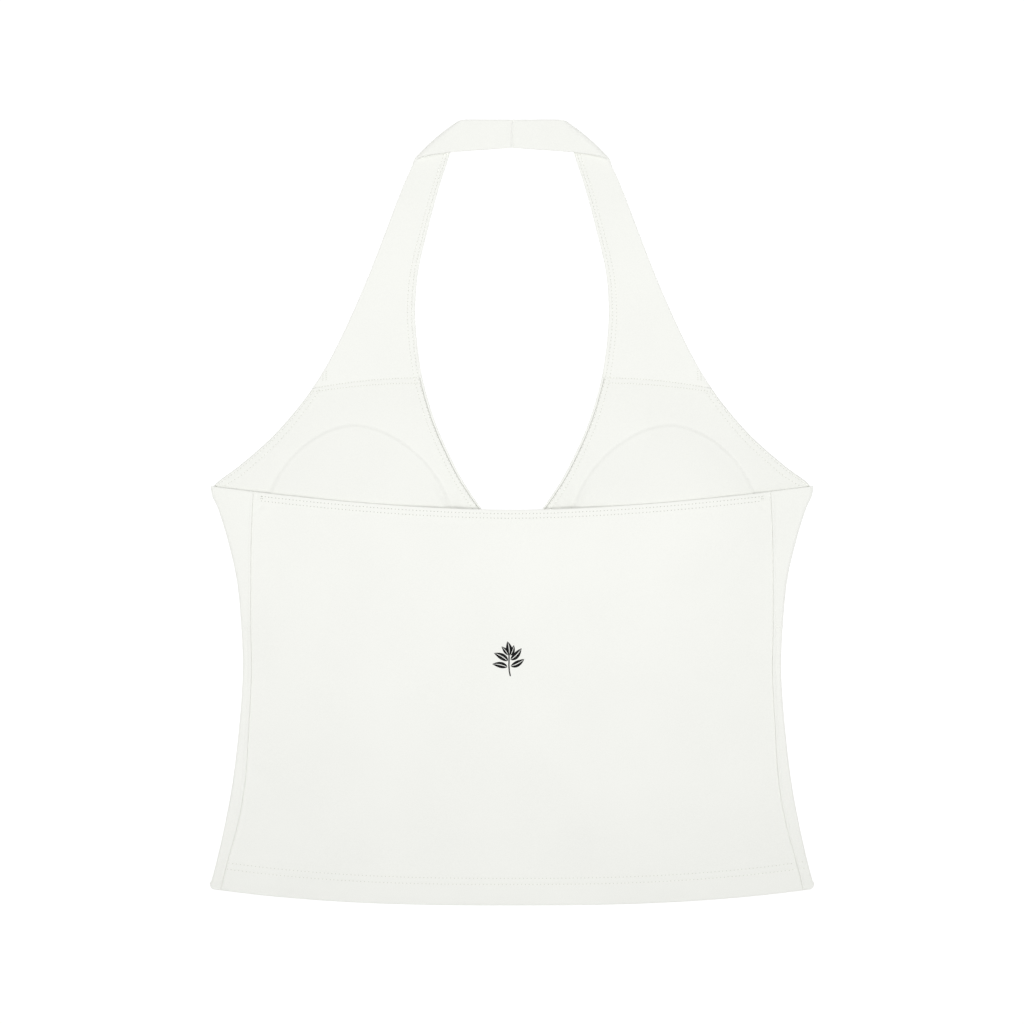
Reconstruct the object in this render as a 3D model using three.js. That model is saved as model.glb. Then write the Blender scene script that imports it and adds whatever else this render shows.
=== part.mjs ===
// Halter neck top in a fine off-white knit, lying flat with its front down and its back up.
// The front wraps round both sides and is seamed to the back there. Two self-lined straps
// fold over at the shoulders and meet as a neck band at the centre back. A lining over two
// soft pads backs the bust.
//
// Millimetres. +X runs to the right seen from above, +Y from the hem to the neck band and
// +Z up off the surface. The origin lies on the surface, under the middle of the outline.
// Heights in the tables are measured along Y from the lowest point of the hem.

import * as THREE from 'three';

// Driving sizes
const LENGTH = 534;
const WALL = 1.1;
const LINING_WALL = 1.0;
const STRAP_WALL = 2.2;
const GAP = 0.3;

// Rows of the body curve down from the side folds to the centre, at the hem and at the top.
const HEM = { side: 11.3, sag: 11.3, bend: 2.6, depth: 18.5 };
const TOP = { side: 285, sag: 16.2, bend: 1.7, depth: 6.5 };
const TURNING_RELIEF = 0.35;
const TURNING_STEP = 1.2;

// Side fold and side seam, as distances from the centre line
const SIDES = [
  { height: 12, fold: 205.4, seam: 197.9 },
  { height: 31, fold: 200.5, seam: 193.1 },
  { height: 58, fold: 194.5, seam: 185.9 },
  { height: 85, fold: 189.7, seam: 181.3 },
  { height: 126, fold: 185.0, seam: 178.6 },
  { height: 160, fold: 182.9, seam: 177.0 },
  { height: 190, fold: 184.0, seam: 177.5 },
  { height: 221, fold: 187.0, seam: 177.4 },
  { height: 248, fold: 193.1, seam: 177.2 },
  { height: 270, fold: 199.9, seam: 176.4 },
  { height: 278, fold: 203.6, seam: 176.0 },
  { height: 285, fold: 204.8, seam: 175.7 },
];

// Armhole edge from the underarm to the shoulder fold
const ARMHOLE = [
  { height: 285, half: 203.0 },
  { height: 289, half: 198.6 },
  { height: 298, half: 186.2 },
  { height: 317, half: 164.4 },
  { height: 337, half: 146.4 },
  { height: 356, half: 132.6 },
  { height: 375, half: 121.6 },
  { height: 403, half: 108.2 },
  { height: 432, half: 95.9 },
  { height: 460, half: 85.1 },
  { height: 489, half: 74.0 },
  { height: 502.8, half: 67.8 },
];

// Neckline edge from the bottom of the V to the shoulder fold
const NECKLINE = [
  { height: 248, half: 0 },
  { height: 252, half: 6.0 },
  { height: 259, half: 12.8 },
  { height: 270, half: 21.1 },
  { height: 289, half: 33.7 },
  { height: 308, half: 43.5 },
  { height: 327, half: 51.7 },
  { height: 346, half: 57.8 },
  { height: 365, half: 62.2 },
  { height: 394, half: 65.5 },
  { height: 413, half: 65.5 },
  { height: 432, half: 63.6 },
  { height: 460, half: 57.1 },
  { height: 489, half: 49.3 },
  { height: 511, half: 42.2 },
  { height: 528.2, half: 38.4 },
];

// Outer radius of the side fold: tight along the body, fuller where the armhole hem ends
const FOLD_RADIUS = { body: 1.5, underarm: 2.4, from: 180, to: 262 };

// Strap: its seam to the front, the line where it folds at the shoulder, which is a little
// fuller midway, and the band's sections from there to the centre-back seam, each from the
// top edge to the bottom edge
const STRAP_SEAM = { neck: 358.6, arm: 351.4, bend: 1.95 };
const SHOULDER = { neck: [38.4, 528.2], arm: [67.8, 502.8], radius: 2.5, crown: 1.2, slide: 8.5 };
const BAND = [
  { top: [20.5, LENGTH], bottom: [42.8, 511.4] },
  { top: [GAP / 2, LENGTH], bottom: [GAP / 2, 514.8] },
];
const BAND_SETTLES = { from: 2, to: 26 };

// Bust lining: how far it stops short of the edges that the front turns over it
const LINING = { bottom: 228, neckTurn: 2.0, armTurn: 0.6, sideTurn: 3.9 };

// Soft pad: an oval cup, thin at its edge
const PAD = { x: 104, y: 262, half: 62, up: 63, down: 42, lean: 3, power: 1.75, edge: 0.6, middle: 3.2 };
const LINING_LIFT = { height: 3.55, reach: 1.25, shape: 3, fall: 1.5 };

// How the back rises from the side seams over the lining and pads
const BACK_LIFT = { height: 2.8, across: 38, from: 150, to: 240 };

// Cells across and along each piece
const CELLS = {
  flat: 11, fold: 5, strip: 3, body: 14, bust: 10, back: 18,
  strapAcross: 5, strapAlong: 18, shoulder: 8, band: 5,
  liningAcross: 9, liningBody: 5, padAround: 28, padRings: 4,
};

const { lerp, smoothstep } = THREE.MathUtils;
const share = (value, from, to) => (value - from) / (to - from);
const steps = (count) => Array.from({ length: count + 1 }, (_, i) => i / count);
const between = (a, b, t) => [lerp(a[0], b[0], t), lerp(a[1], b[1], t)];

// The value of one column at a height, on a smooth curve through the rows of a table
function smooth(rows, column, height) {
  const last = rows.length - 1;
  const found = rows.findLastIndex((row) => row.height <= height);
  const i = Math.min(Math.max(found, 0), last - 1);
  const slope = (a, b) => (rows[b][column] - rows[a][column]) / (rows[b].height - rows[a].height);
  const span = rows[i + 1].height - rows[i].height;
  const t = Math.min(Math.max((height - rows[i].height) / span, 0), 1);
  const start = slope(Math.max(i - 1, 0), i + 1) * span;
  const end = slope(i, Math.min(i + 2, last)) * span;
  const rise = t * t * (3 - 2 * t);
  return lerp(rows[i][column], rows[i + 1][column], rise)
    + start * t * (1 - t) ** 2 - end * t * t * (1 - t);
}

// A closed wall from cells. A cell is a ring of corners, and a corner holds its point on
// the wall's outer face and its point on the inner face.
function wall(cells) {
  const numbers = new Map();
  const outer = [];
  const inner = [];
  const rim = new Map();
  const triangles = [];
  const number = (corner) => {
    const key = [...corner.outer, ...corner.inner].map((value) => Math.round(value * 1e4)).join();
    if (!numbers.has(key)) {
      numbers.set(key, outer.length);
      outer.push(corner.outer);
      inner.push(corner.inner);
    }
    return numbers.get(key);
  };
  const rings = cells.map((cell) => cell.map(number).filter((n, i, ring) => n !== ring.at(i - 1)));
  const count = outer.length;
  for (const ring of rings) {
    for (let i = 2; i < ring.length; i += 1) {
      triangles.push([ring[0], ring[i - 1], ring[i]]);
      triangles.push([ring[0] + count, ring[i] + count, ring[i - 1] + count]);
    }
    ring.forEach((to, i) => {
      const from = ring.at(i - 1);
      if (!rim.delete(`${to} ${from}`)) rim.set(`${from} ${to}`, [from, to]);
    });
  }
  for (const [from, to] of rim.values()) {
    triangles.push([to, from, from + count], [to, from + count, to + count]);
  }
  return solid([...outer, ...inner], triangles);
}

// The geometry of a closed body, with its faces turned to point out
function solid(points, triangles) {
  const [a, b, c] = [new THREE.Vector3(), new THREE.Vector3(), new THREE.Vector3()];
  const volume = triangles.reduce((sum, [i, j, k]) => (
    sum + a.fromArray(points[i]).dot(b.fromArray(points[j]).cross(c.fromArray(points[k])))
  ), 0);
  const faces = volume > 0 ? triangles : triangles.map(([i, j, k]) => [i, k, j]);
  const geometry = new THREE.BufferGeometry();
  geometry.setAttribute('position', new THREE.Float32BufferAttribute(points.flat(), 3));
  geometry.setIndex(faces.flat());
  geometry.computeVertexNormals();
  return geometry;
}

// Cells between neighbouring rows of corners, as far as the shorter row goes
function grid(rows) {
  const cells = [];
  for (let i = 1; i < rows.length; i += 1) {
    const [low, high] = [rows[i - 1], rows[i]];
    for (let j = 1; j < Math.min(low.length, high.length); j += 1) {
      cells.push([low[j - 1], low[j], high[j], high[j - 1]]);
    }
  }
  return cells;
}

// The same cells on the other side of the centre line
function mirrored(cells) {
  const flip = ([x, y, z]) => [-x, y, z];
  return cells.map(([first, ...others]) => (
    [first, ...others.reverse()].map((corner) => ({ outer: flip(corner.outer), inner: flip(corner.inner) }))
  ));
}

// One row of the body by the height where it meets the side fold
function bodyRow(side) {
  const t = share(side, HEM.side, TOP.side);
  const sag = lerp(HEM.sag, TOP.sag, t);
  return {
    side,
    sag,
    bend: lerp(HEM.bend, TOP.bend, t),
    middle: side - sag,
    fold: smooth(SIDES, 'fold', side),
    seam: smooth(SIDES, 'seam', side),
    radius: lerp(FOLD_RADIUS.body, FOLD_RADIUS.underarm,
      smoothstep(side, FOLD_RADIUS.from, FOLD_RADIUS.to)),
  };
}

// Height of a body row at a distance from the centre line
const rowHeight = (row, x) => row.side - row.sag * (1 - (Math.abs(x) / row.fold) ** row.bend);

// Sides of the body's rows: close together at the turnings and by the bottom of the V
const TURNED_HEM = HEM.side + HEM.depth;
const TURNED_TOP = TOP.side - TOP.depth;
const V_ROWS = [264, 267, 270.5, 274.5];
const BODY_SIDES = [
  HEM.side,
  TURNED_HEM,
  ...steps(CELLS.body).map((t) => lerp(TURNED_HEM + TURNING_STEP, V_ROWS[0], t)),
  ...V_ROWS.slice(1),
  TURNED_TOP - TURNING_STEP,
  TURNED_TOP,
  TOP.side,
];

const hemRelief = (side) => (side <= TURNED_HEM ? TURNING_RELIEF : 0);
const backRelief = (side) => (side >= TURNED_TOP ? TURNING_RELIEF : hemRelief(side));

// A corner on the surface at x and a height above the hem, from z down to z less the wall
function flat(x, height, top, thickness) {
  const y = height - LENGTH / 2;
  return { outer: [x, y, top], inner: [x, y, top - thickness] };
}

// Rows of the bust above the underarm, from the last body row up to the strap seam
function bustRow(t) {
  const side = lerp(TOP.side, STRAP_SEAM.arm - GAP, t);
  const middle = lerp(TOP.side - TOP.sag, STRAP_SEAM.neck - GAP, t);
  const bend = lerp(TOP.bend, STRAP_SEAM.bend, t);
  return { side, middle, sag: side - middle, bend, arm: smooth(ARMHOLE, 'half', side) };
}

// A point of the front's sheet, at a share of the way from its inner to its outer edge
function sheetPoint(row, inner, outer, across) {
  return [lerp(inner, outer, across), row.side - row.sag * (1 - across ** row.bend)];
}

// One row of the front's right half: flat on the surface, round the side fold and back
// over the top to the side seam
function frontRow(row) {
  const neck = smooth(NECKLINE, 'half', row.middle);
  const edge = row.arm ?? row.fold - row.radius;
  const corners = steps(CELLS.flat).map((across) => {
    const [x, height] = sheetPoint(row, neck, edge, across);
    const { outer: upper, inner: lower } = flat(x, height, WALL, WALL);
    return { outer: lower, inner: upper };
  });
  if (row.arm) return corners;
  const relief = hemRelief(row.side);
  const turned = (angle, radius, x = edge + radius * Math.sin(angle)) => (
    [x, rowHeight(row, x) - LENGTH / 2, row.radius - radius * Math.cos(angle)]
  );
  for (const t of steps(CELLS.fold).slice(1)) {
    const angle = Math.PI * t;
    const outside = row.radius + relief * t;
    corners.push({ outer: turned(angle, outside), inner: turned(angle, row.radius - WALL) });
  }
  for (const t of steps(CELLS.strip).slice(1)) {
    const x = lerp(edge, row.seam, t);
    const outside = row.radius + relief;
    corners.push({
      outer: turned(Math.PI, outside, x),
      inner: turned(Math.PI, row.radius - WALL, x),
    });
  }
  return corners;
}

function front() {
  const rows = [
    ...BODY_SIDES.map(bodyRow),
    ...steps(CELLS.bust).slice(1).map(bustRow),
  ];
  const half = grid(rows.map(frontRow));
  return wall([...half, ...mirrored(half)]);
}

// The back lies level with the turned sides at the seams and rises over the lining
function back() {
  const rows = BODY_SIDES.map(bodyRow).map((row) => steps(CELLS.back).map((t) => {
    const x = lerp(-1, 1, t) * (row.seam - GAP);
    const height = rowHeight(row, x);
    const rise = BACK_LIFT.height * smoothstep(row.seam - Math.abs(x), 0, BACK_LIFT.across)
      * smoothstep(height, BACK_LIFT.from, BACK_LIFT.to);
    const relief = backRelief(row.side);
    return flat(x, height, 2 * row.radius + rise + relief, WALL + relief);
  }));
  return wall(grid(rows));
}

// How far out a point lies on the right pad: 0 at its middle and 1 at its edge
function padShare(x, height) {
  const up = height - PAD.y;
  const rise = up / (up > 0 ? PAD.up : PAD.down);
  const side = (x - PAD.x - PAD.lean * rise) / PAD.half;
  return (Math.abs(side) ** PAD.power + Math.abs(rise) ** PAD.power) ** (1 / PAD.power);
}

// A dome with a thin edge, on the front's inner face
function pad() {
  const base = WALL + GAP;
  const corner = (out, angle) => {
    const power = 2 / PAD.power;
    const side = out * Math.sign(Math.cos(angle)) * Math.abs(Math.cos(angle)) ** power;
    const rise = out * Math.sign(Math.sin(angle)) * Math.abs(Math.sin(angle)) ** power;
    const thickness = lerp(PAD.middle, PAD.edge, out ** 3);
    const x = PAD.x + PAD.half * side + PAD.lean * rise;
    const height = PAD.y + rise * (rise > 0 ? PAD.up : PAD.down);
    return flat(x, height, base + thickness, thickness);
  };
  const rings = steps(CELLS.padRings).map((t) => Math.sqrt(t));
  const rows = rings.map((out) => (
    steps(CELLS.padAround).map((t) => corner(out, 2 * Math.PI * t))
  ));
  return grid(rows);
}

// The lining lies on the front and is lifted by the pad under it
function lining() {
  const lift = (x, height) => {
    const out = Math.min(padShare(x, height) / LINING_LIFT.reach, 1);
    return LINING_LIFT.height * (1 - out ** LINING_LIFT.shape) ** LINING_LIFT.fall;
  };
  const rows = [
    ...steps(CELLS.liningBody).map((t) => bodyRow(lerp(LINING.bottom, TOP.side, t))),
    ...steps(CELLS.bust).slice(1).map(bustRow),
  ];
  return grid(rows.map((row) => {
    const neck = smooth(NECKLINE, 'half', row.middle);
    const inner = neck > 0 ? neck + LINING.neckTurn : GAP / 2;
    const outer = row.arm ? row.arm - LINING.armTurn : row.fold - LINING.sideTurn;
    return steps(CELLS.liningAcross).map((across) => {
      const [x, height] = sheetPoint(row, inner, outer, across);
      return flat(x, height, WALL + GAP + lift(x, height) + LINING_WALL, LINING_WALL);
    });
  }));
}

// Directions in the plane of the strap: along the shoulder fold towards the neck, and out
// past the fold
const FOLD_LENGTH = Math.hypot(SHOULDER.neck[0] - SHOULDER.arm[0], SHOULDER.neck[1] - SHOULDER.arm[1]);
const ALONG = [0, 1].map((i) => (SHOULDER.neck[i] - SHOULDER.arm[i]) / FOLD_LENGTH);
const PAST = [ALONG[1], -ALONG[0]];

// How far the folded-over band has settled down towards the surface
function settled(x, height) {
  const [low, high] = NECKLINE.slice(-2);
  const edge = lerp(low.half, high.half, share(height, low.height, high.height));
  const drop = 2 * SHOULDER.radius - STRAP_WALL;
  return drop * smoothstep(edge - x, BAND_SETTLES.from, BAND_SETTLES.to);
}

// One section of the right strap, from its neckline edge to its armhole edge. The turn runs
// from 0 before the shoulder fold to 1 after it. Near the front it bends as the seam does.
function strapSection(neck, arm, turn, bend = 1) {
  const angle = Math.PI * turn;
  const { radius } = SHOULDER;
  return steps(CELLS.strapAcross).map((across) => {
    const foot = [lerp(neck[0], arm[0], across), lerp(neck[1], arm[1], across ** bend)];
    const crown = SHOULDER.crown * Math.sin(Math.PI * across);
    const point = (r) => [
      foot[0] + PAST[0] * (r + crown) * Math.sin(angle),
      foot[1] + PAST[1] * (r + crown) * Math.sin(angle) - LENGTH / 2,
      radius - r * Math.cos(angle) - turn * settled(...foot),
    ];
    return { outer: point(radius), inner: point(radius - STRAP_WALL) };
  });
}

function strap() {
  const edgePoint = (table, height) => [smooth(table, 'half', height), height];
  const slid = (point, t) => point.map((value, i) => value + ALONG[i] * SHOULDER.slide * t);
  const flatSections = steps(CELLS.strapAlong).map((t) => strapSection(
    edgePoint(NECKLINE, lerp(STRAP_SEAM.neck, SHOULDER.neck[1], t)),
    edgePoint(ARMHOLE, lerp(STRAP_SEAM.arm, SHOULDER.arm[1], t)),
    0,
    lerp(STRAP_SEAM.bend, 1, t),
  ));
  const foldSections = steps(CELLS.shoulder).slice(1).map((t) => (
    strapSection(slid(SHOULDER.neck, t), slid(SHOULDER.arm, t), t)
  ));
  const turned = { top: slid(SHOULDER.neck, 1), bottom: slid(SHOULDER.arm, 1) };
  const bandSections = BAND.flatMap((end, i) => {
    const start = [turned, ...BAND][i];
    return steps(CELLS.band).slice(1).map((t) => (
      strapSection(between(start.top, end.top, t), between(start.bottom, end.bottom, t), 1)
    ));
  });
  return grid([...flatSections, ...foldSections, ...bandSections]);
}

// Named pieces, each with a material of its own
const KNIT = { color: 0xf3f4ee, roughness: 0.9, metalness: 0 };
const LINING_KNIT = { color: 0xeff0ea, roughness: 0.92, metalness: 0 };
const FOAM = { color: 0xeeece4, roughness: 0.95, metalness: 0 };

function piece(name, geometry, look) {
  const mesh = new THREE.Mesh(geometry, new THREE.MeshStandardMaterial(look));
  mesh.name = name;
  return mesh;
}

// A left and a right piece from the right one's cells
function pair(name, cells, look) {
  return [
    piece(`${name}_left`, wall(mirrored(cells)), look),
    piece(`${name}_right`, wall(cells), look),
  ];
}

const top = new THREE.Group();
top.add(
  piece('front', front(), KNIT),
  piece('back', back(), KNIT),
  ...pair('strap', strap(), KNIT),
  ...pair('lining', lining(), LINING_KNIT),
  ...pair('pad', pad(), FOAM),
);

export default top;
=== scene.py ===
"""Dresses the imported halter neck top: fine knit shells on the solids' forms, with turned
edges, twin-needle stitching, seams, soft creases and a small printed sprig.

The tables are in millimetres. Heights run from the lowest point of the hem along +Y, and
distances across run from the centre line. Meshes are made in metres in the frame's axes.
"""

import math
from types import SimpleNamespace as Sizes

import bpy
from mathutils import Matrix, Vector


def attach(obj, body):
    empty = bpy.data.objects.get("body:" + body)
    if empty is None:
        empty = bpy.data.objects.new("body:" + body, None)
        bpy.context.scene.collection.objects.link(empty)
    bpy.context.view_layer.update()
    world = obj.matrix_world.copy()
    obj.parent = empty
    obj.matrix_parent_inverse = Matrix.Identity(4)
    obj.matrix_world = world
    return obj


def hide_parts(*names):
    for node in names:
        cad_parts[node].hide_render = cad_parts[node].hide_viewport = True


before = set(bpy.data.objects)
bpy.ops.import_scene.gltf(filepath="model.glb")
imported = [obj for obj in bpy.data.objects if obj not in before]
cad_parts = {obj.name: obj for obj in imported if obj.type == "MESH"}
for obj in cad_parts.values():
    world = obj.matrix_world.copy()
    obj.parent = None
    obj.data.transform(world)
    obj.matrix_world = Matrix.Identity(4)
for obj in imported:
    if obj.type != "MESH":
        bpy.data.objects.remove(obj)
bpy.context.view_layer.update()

MM = 0.001

# Driving sizes, as the solids have them
LENGTH = 534
WALL = 1.1
LINING_WALL = 1.0
STRAP_WALL = 2.2
GAP = 0.3

# Rows of the body curve down from the side folds to the centre
HEM = Sizes(side=11.3, sag=11.3, bend=2.6)
TOP = Sizes(side=285, sag=16.2, bend=1.7)

# Side fold and side seam: height, distance of the fold, distance of the seam
SIDES = [
    (12, 205.4, 197.9),
    (31, 200.5, 193.1),
    (58, 194.5, 185.9),
    (85, 189.7, 181.3),
    (126, 185.0, 178.6),
    (160, 182.9, 177.0),
    (190, 184.0, 177.5),
    (221, 187.0, 177.4),
    (248, 193.1, 177.2),
    (270, 199.9, 176.4),
    (278, 203.6, 176.0),
    (285, 204.8, 175.7),
]

# Armhole edge: height, distance
ARMHOLE = [
    (285, 203.0),
    (289, 198.6),
    (298, 186.2),
    (317, 164.4),
    (337, 146.4),
    (356, 132.6),
    (375, 121.6),
    (403, 108.2),
    (432, 95.9),
    (460, 85.1),
    (489, 74.0),
    (502.8, 67.8),
]

# Neckline edge from the bottom of the V: height, distance
NECKLINE = [
    (248, 0),
    (252, 6.0),
    (259, 12.8),
    (270, 21.1),
    (289, 33.7),
    (308, 43.5),
    (327, 51.7),
    (346, 57.8),
    (365, 62.2),
    (394, 65.5),
    (413, 65.5),
    (432, 63.6),
    (460, 57.1),
    (489, 49.3),
    (511, 42.2),
    (528.2, 38.4),
]

FOLD_RADIUS = Sizes(body=1.5, underarm=2.4, start=180, end=262)
# Cut edges of neighbouring pieces stop this short of their shared seam line
TOUCH = 0.02
# The distance from an edge or a row of stitches that a piece doesn't have
FAR = 99
STRAP_SEAM = Sizes(neck=358.6, arm=351.4, bend=1.95)
SHOULDER = Sizes(neck=(38.4, 528.2), arm=(67.8, 502.8), radius=2.5, crown=1.2, slide=8.5)
BAND_TOP = [(20.5, LENGTH), (GAP / 2, LENGTH)]
BAND_BOTTOM = [(42.8, 511.4), (GAP / 2, 514.8)]
BAND_SETTLES = Sizes(start=2, end=26)
LINING = Sizes(bottom=228, neck_turn=2.0, arm_turn=0.6, side_turn=3.9)
PAD = Sizes(
    x=104, height=262, half=62, up=63, down=42, lean=3, power=1.75,
    edge=0.6, middle=3.2,
)
BACK_LIFT = Sizes(height=2.8, across=38, start=150, end=240)

# Twin-needle rows by their distance from the edge, and the length of one stitch there
HEM_ROWS = (14.6, 18.8)
TOP_ROWS = (2.7, 5.8)
NECK_ROWS = (2.6, 5.4)
ARM_ROWS = (1.8, 5.1)
JOINT_ROWS = (0.1, 3.6)
STITCH = {
    "hem": 2.6, "top": 2.4, "top_end": 1.3, "neck": 2.45, "arm": 2.6, "joint": 2.0, "tack": 1.35,
}
GROOVE = Sizes(depth=0.13, radius=0.55, ridge=0.09)


def lerp(a, b, t):
    return a + (b - a) * t


def smoothstep(value, low, high):
    t = min(max((value - low) / (high - low), 0.0), 1.0)
    return t * t * (3 - 2 * t)


def bell(distance, radius):
    return math.exp(-((distance / radius) ** 2))


def steps(count):
    return [i / count for i in range(count + 1)]


def between(start, end, count):
    """Even values between two ends, without the ends."""
    return [lerp(start, end, t) for t in steps(count)[1:-1]]


def smooth(rows, height, column=1):
    """The value of a column at a height, on a smooth curve through the rows of a table."""
    last = len(rows) - 1
    i = 0
    while i < last - 1 and rows[i + 1][0] <= height:
        i += 1

    def slope(a, b):
        return (rows[b][column] - rows[a][column]) / (rows[b][0] - rows[a][0])

    span = rows[i + 1][0] - rows[i][0]
    t = min(max((height - rows[i][0]) / span, 0.0), 1.0)
    start = slope(max(i - 1, 0), i + 1) * span
    end = slope(i, min(i + 2, last)) * span
    value = lerp(rows[i][column], rows[i + 1][column], t * t * (3 - 2 * t))
    return value + start * t * (1 - t) ** 2 - end * t * t * (1 - t)


def edge_stretch(rows, height):
    """How much longer a level step is than its distance from a sloping edge."""
    step = 2.0
    slope = (smooth(rows, height + step) - smooth(rows, height - step)) / (2 * step)
    return math.sqrt(1 + slope * slope)


def stations(length, rows=(), rounding=1.0, fine=0.25, coarse=2.6):
    """Distances from an edge: close at the rounded edge and by each row of stitches."""
    marks = {rounding * (1 - math.cos(math.pi / 2 * t)) for t in steps(4)}
    for row in rows:
        marks |= {row + fine * i for i in range(-3, 4)}
    marks = sorted(mark for mark in marks | {length} if 0 <= mark <= length)
    filled = [marks[0]]
    for mark in marks[1:]:
        parts = math.ceil((mark - filled[-1]) / coarse)
        start = filled[-1]
        filled += [lerp(start, mark, i / parts) for i in range(1, parts + 1)]
    return filled


def rounded(distance, radius):
    """The share of a wall's thickness left at a distance from its rounded edge."""
    t = min(max(distance / radius, 0.0), 1.0)
    return math.sqrt(1 - (1 - t) ** 2)


def pinch(corner, share):
    """A corner with its two faces drawn together towards the middle of the wall."""
    outer, inner = corner
    middle = [(a + b) / 2 for a, b in zip(outer, inner)]
    return tuple(
        tuple(m + (value - m) * share for m, value in zip(middle, face)) for face in corner
    )


def grid(rows):
    """Cells between rows of corners; where one row is longer, it runs on past the other."""
    cells = []
    for low, high in zip(rows, rows[1:]):
        for j in range(min(len(low), len(high)) - 1):
            cells.append([low[j], low[j + 1], high[j + 1], high[j]])
    return cells


def mirrored(cells):
    def flip(point):
        return (-point[0], point[1], point[2])

    return [[(flip(outer), flip(inner)) for outer, inner in reversed(cell)] for cell in cells]


def placed(point):
    """A point of the tables in metres, from the middle of the frame."""
    x, height, z = point
    return x * MM, (height - LENGTH / 2) * MM, z * MM


# Points of a wall that round to the same fifth of a thousandth of a millimetre are one
KEYS_PER_MM = 5000
SHARP = math.radians(50)


def wall(name, cells, material):
    """A closed shell from cells whose corners hold a point on each face of the cloth."""
    numbers = {}
    points = []
    faces = []
    rim = {}

    def number(point):
        key = tuple(round(value * KEYS_PER_MM) for value in point)
        if key not in numbers:
            numbers[key] = len(points)
            points.append(placed(point))
        return numbers[key]

    def add(ring):
        ring = [n for i, n in enumerate(ring) if n != ring[i - 1]]
        if len(ring) > 2:
            faces.append(ring)

    for cell in cells:
        outer = [number(corner[0]) for corner in cell]
        inner = [number(corner[1]) for corner in cell]
        add(outer)
        add(inner[::-1])
        for i in range(len(cell)):
            start, end = (outer[i - 1], inner[i - 1]), (outer[i], inner[i])
            if start == end:
                continue
            if (end, start) in rim:
                del rim[end, start]
            else:
                rim[start, end] = True
    for start, end in rim:
        add([end[0], start[0], start[1], end[1]])
    return mesh_object(name, points, faces, material)


def half_wall(name, rows, flip, material):
    """A shell on the right half from rows of corners, or its mirror image on the left."""
    cells = grid(rows)
    return wall(name, mirrored(cells) if flip else cells, material)


def mesh_object(name, points, faces, material):
    mesh = bpy.data.meshes.new(name)
    mesh.from_pydata(points, [], faces)
    mesh.validate()
    mesh.update()
    mesh.calc_loop_triangles()
    corners = ([mesh.vertices[i].co for i in facet.vertices] for facet in mesh.loop_triangles)
    if sum(a.dot(b.cross(c)) for a, b, c in corners) < 0:
        mesh.flip_normals()
    mesh.polygons.foreach_set("use_smooth", [True] * len(mesh.polygons))
    mesh.set_sharp_from_angle(angle=SHARP)
    mesh.materials.append(material)
    piece = bpy.data.objects.new(name, mesh)
    bpy.context.scene.collection.objects.link(piece)
    return piece


# Materials

class Surface:
    """A material in the making, with textures laid in the object's own axes."""

    def __init__(self, name, inputs):
        self.material = bpy.data.materials.new(name)
        self.material.use_nodes = True
        self.nodes = self.material.node_tree.nodes
        self.shader = self.nodes["Principled BSDF"]
        self.feed(self.shader, inputs)
        self.place = self.nodes.new("ShaderNodeTexCoord").outputs["Object"]

    def feed(self, node, inputs):
        """Gives inputs of a node their values, or links them to outputs of other nodes."""
        for socket, value in inputs.items():
            if isinstance(value, bpy.types.NodeSocket):
                self.material.node_tree.links.new(value, node.inputs[socket])
            else:
                node.inputs[socket].default_value = value

    def add(self, kind, output, inputs):
        """The output of a new node."""
        node = self.nodes.new(kind)
        self.feed(node, inputs)
        return node.outputs[output]

    def noise(self, scale, detail=2):
        inputs = {"Vector": self.place, "Scale": scale, "Detail": detail}
        return self.add("ShaderNodeTexNoise", "Fac", inputs)

    def wave(self, axis, size):
        """Ribs of a size in millimetres that follow each other along an axis."""
        inputs = {"Vector": self.place, "Scale": math.tau / (size * MM) / 20}
        output = self.add("ShaderNodeTexWave", "Fac", {**inputs, "Distortion": 0.6, "Detail": 1.0})
        output.node.bands_direction = axis
        return output

    def tones(self, source, dark, light, span=(0.0, 1.0)):
        """Colours the surface from dark to light over a span of a texture's values."""
        colour = self.add("ShaderNodeValToRGB", "Color", {"Fac": source})
        for stop, position, tone in zip(colour.node.color_ramp.elements, span, (dark, light)):
            stop.position = position
            stop.color = (*tone, 1)
        self.feed(self.shader, {"Base Color": colour})


KNIT_SHADER = {
    "Roughness": 0.86,
    "Sheen Weight": 0.12,
    "Sheen Roughness": 0.5,
    "Specular IOR Level": 0.25,
}
KNIT_BUMP = {"Strength": 0.35, "Distance": 0.05 * MM}
KNIT_NOISE = Sizes(fuzz=900, patches=14, flecks=1500)
KNIT_TONE = Sizes(mix=0.6, shade=0.955, span=(0.3, 0.62))


def knit_material(name, colour, wale=0.55, course=0.42):
    """Fine jersey: wales and courses as a shallow bump, with a faint change of tone."""
    surface = Surface(name, KNIT_SHADER)
    waves = {0: surface.wave("X", wale), 1: surface.wave("Y", course)}
    loops = surface.add("ShaderNodeMath", "Value", waves)
    loops.node.operation = "MULTIPLY"
    fuzz = surface.noise(KNIT_NOISE.fuzz, 3)
    relief = surface.add("ShaderNodeMath", "Value", {0: loops, 1: fuzz})
    normal = surface.add("ShaderNodeBump", "Normal", {**KNIT_BUMP, "Height": relief})
    surface.feed(surface.shader, {"Normal": normal})
    patches, flecks = surface.noise(KNIT_NOISE.patches, 4), surface.noise(KNIT_NOISE.flecks)
    inputs = {"Factor": KNIT_TONE.mix, "A": patches, "B": flecks}
    tone = surface.add("ShaderNodeMix", "Result", inputs)
    shade = [channel * KNIT_TONE.shade for channel in colour]
    surface.tones(tone, shade, colour, KNIT_TONE.span)
    return surface.material


def grained_material(name, grain, dark, light, inputs):
    """A plain surface whose tone varies with a fine grain."""
    surface = Surface(name, inputs)
    surface.tones(surface.noise(grain), dark, light)
    return surface.material


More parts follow.
